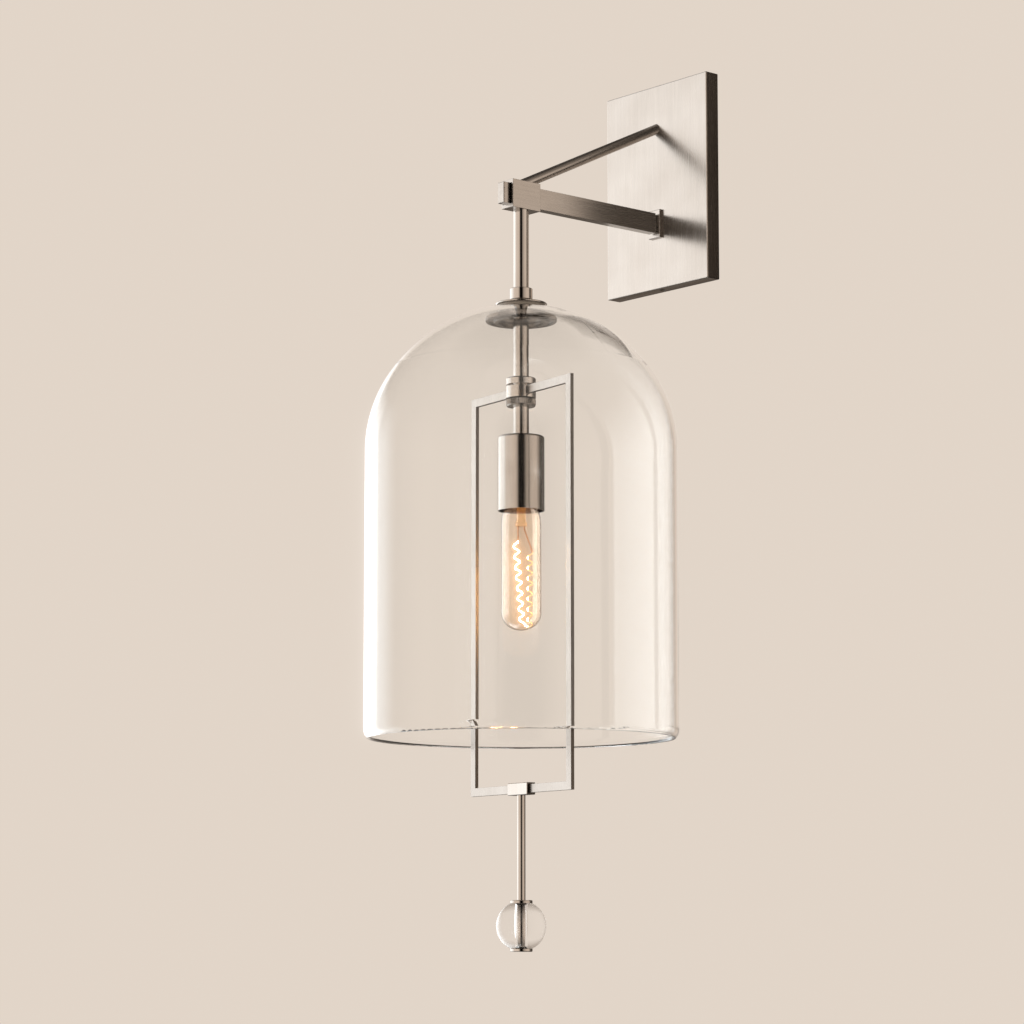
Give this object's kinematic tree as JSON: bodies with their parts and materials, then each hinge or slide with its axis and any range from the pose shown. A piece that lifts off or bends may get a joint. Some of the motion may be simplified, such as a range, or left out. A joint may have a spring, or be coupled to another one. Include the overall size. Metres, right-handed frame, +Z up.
{
  "type": "hanging bell wall sconce",
  "caption": "Wall sconce with a braced flat arm that carries a clear glass bell, an open strip frame round a tubular lamp and a crystal ball finial.",
  "frame": {"origin": "on the wall plane, at the centre of the backplate", "axes": "+Y into the wall, +Z up, +X to the right of someone who faces the wall"},
  "size_m": [0.24, 0.2778, 0.6959],
  "materials": {
    "satin_nickel": "brushed satin nickel plate",
    "zinc_steel": "bright zinc plate",
    "dark_screw": "blackened steel",
    "green_screw": "green earth screw",
    "bell_glass": "clear blown glass",
    "crystal": "clear polished crystal",
    "lamp_glass": "thin clear lamp glass",
    "clear_silicone": "translucent soft washer",
    "ceramic": "unglazed porcelain",
    "brass": "stamped brass",
    "plated_base": "nickel plated lamp base",
    "black_glass": "dark insulator glass",
    "solder": "dull solder",
    "lamp_wire": "drawn support wire",
    "glowing_filament": "fine coiled wire, lit",
    "black_lead": "insulated lead",
    "white_lead": "insulated lead",
    "connector_plastic": "twist-on connector"
  },
  "bodies": {
    "fixed_part": {"wall_bracket": "zinc_steel", "ground_screw": "green_screw", "backplate": "satin_nickel", "cover_screws": "dark_screw", "arm_bar": "satin_nickel", "arm_end_cap": "satin_nickel", "arm_escutcheon": "satin_nickel", "arm_anchor": "zinc_steel", "anchor_nuts": "zinc_steel", "head_sleeve": "satin_nickel", "brace_rod": "satin_nickel", "brace_washer": "zinc_steel", "brace_screw": "zinc_steel", "stem_nipple": "zinc_steel", "upper_stem": "satin_nickel", "stem_coupling": "satin_nickel", "hanger_nipple": "zinc_steel", "neck_washer": "zinc_steel", "glass_disc": "satin_nickel", "centring_bush": "zinc_steel", "upper_gasket": "clear_silicone", "lower_gasket": "clear_silicone", "glass_bell": "bell_glass", "lower_stem": "satin_nickel", "stop_ring": "satin_nickel", "stop_ring_screw": "dark_screw", "socket_cup": "satin_nickel", "socket_nipple": "zinc_steel", "socket_locknut": "zinc_steel", "lampholder": "ceramic", "screw_shell": "brass", "centre_contact": "brass", "lead_live": "black_lead", "lead_neutral": "white_lead", "connectors": "connector_plastic"},
    "flange_nut": {"flange_nut": "satin_nickel"},
    "frame": {"frame_hub": "satin_nickel", "frame_right": "satin_nickel", "frame_left": "satin_nickel", "joining_block": "satin_nickel"},
    "lock_ring": {"lock_ring": "satin_nickel"},
    "finial": {"finial_rod": "satin_nickel", "ball_cap_upper": "satin_nickel", "crystal_ball": "crystal", "ball_cap_lower": "satin_nickel"},
    "bulb": {"bulb_glass": "lamp_glass", "bulb_base": "plated_base", "base_insulator": "black_glass", "base_contact": "solder", "bulb_mount": "lamp_glass", "prong_wires": "lamp_wire", "filament": "glowing_filament"}
  },
  "joints": [
    {"name": "flange_nut_turn", "type": "hinge", "parent": "fixed_part", "child": "flange_nut", "pos_m": [0, -0.1578, -0.1266], "axis": [0, 0, 1], "continuous": true},
    {"name": "frame_swivel", "type": "hinge", "parent": "fixed_part", "child": "frame", "pos_m": [0, -0.1578, -0.185], "axis": [0, 0, 1], "continuous": true},
    {"name": "lock_ring_turn", "type": "hinge", "parent": "fixed_part", "child": "lock_ring", "pos_m": [0, -0.1578, -0.1932], "axis": [0, 0, 1], "continuous": true},
    {"name": "finial_turn", "type": "hinge", "parent": "frame", "child": "finial", "pos_m": [0, -0.1578, -0.53], "axis": [0, 0, 1], "continuous": true},
    {"name": "lamp_out", "type": "slide", "parent": "fixed_part", "child": "bulb", "axis": [0, 0, -1], "range_m": [0, 0.04]}
  ]
}
